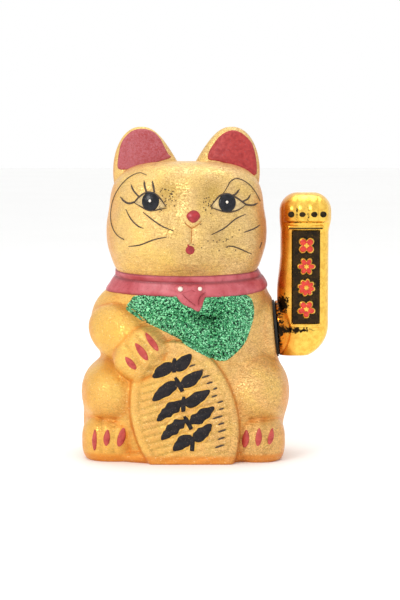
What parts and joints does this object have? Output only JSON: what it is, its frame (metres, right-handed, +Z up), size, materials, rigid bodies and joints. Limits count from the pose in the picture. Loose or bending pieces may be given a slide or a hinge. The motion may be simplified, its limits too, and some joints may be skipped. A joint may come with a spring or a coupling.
{
  "type": "beckoning cat figurine",
  "caption": "Seated gold-painted ceramic cat holding an oval coin, with a metallised plastic forearm that swings on a magnet-driven pendulum.",
  "frame": {"origin": "centre of the figure's footprint box, on the surface it stands on", "axes": "+Z up, the cat faces -Y, +X is the viewer's right, where the swinging arm is"},
  "size_m": [0.1488, 0.1009, 0.195],
  "materials": {
    "gold_ceramic": "satin",
    "gold_plastic": "metallised",
    "panel_black": "gloss",
    "black_plastic": "moulded",
    "white_plastic": "moulded",
    "steel": "turned",
    "brass": "sintered",
    "magnet": "ferrite",
    "copper": "enamelled wire",
    "nickel": "plated",
    "cell_jacket": "printed sleeve",
    "board_green": "solder mask",
    "red_wire": "pvc",
    "black_wire": "pvc"
  },
  "bodies": {
    "root": {"ceramic_body": "gold_ceramic", "base_plate": "black_plastic", "battery_cells": "cell_jacket", "battery_springs": "nickel", "battery_plates": "nickel", "switch_body": "black_plastic", "circuit_board": "board_green", "capacitor": "black_plastic", "driver_chip": "black_plastic", "board_screws": "steel", "coil_bobbin": "white_plastic", "coil_winding": "copper", "lead_red": "red_wire", "lead_black": "black_wire", "coil_leads": "copper", "pivot_frame": "black_plastic", "bush_outer": "brass", "bush_inner": "brass"},
    "arm": {"axle": "steel", "axle_clip": "steel", "arm_hub": "white_plastic", "arm_front_shell": "gold_plastic", "arm_rear_shell": "gold_plastic", "arm_panel": "panel_black", "arm_screws": "steel", "pendulum_lever": "white_plastic", "lever_screw": "steel", "counterweight": "steel", "drive_magnet": "magnet"},
    "battery_door": {"battery_door": "black_plastic"},
    "switch_slider": {"switch_slider": "black_plastic"}
  },
  "joints": [
    {"name": "arm_swing", "type": "hinge", "parent": "root", "child": "arm", "pos_m": [0.0416, 0, 0.0745], "axis": [0.9962, 0, 0.0872], "range_deg": [-20, 20]},
    {"name": "door_hinge", "type": "hinge", "parent": "root", "child": "battery_door", "pos_m": [-0.0241, 0.028, 0.0029], "axis": [1, 0, 0], "range_deg": [0, 75]},
    {"name": "switch_travel", "type": "slide", "parent": "root", "child": "switch_slider", "axis": [0, 1, 0], "range_m": [0, 0.003]}
  ]
}
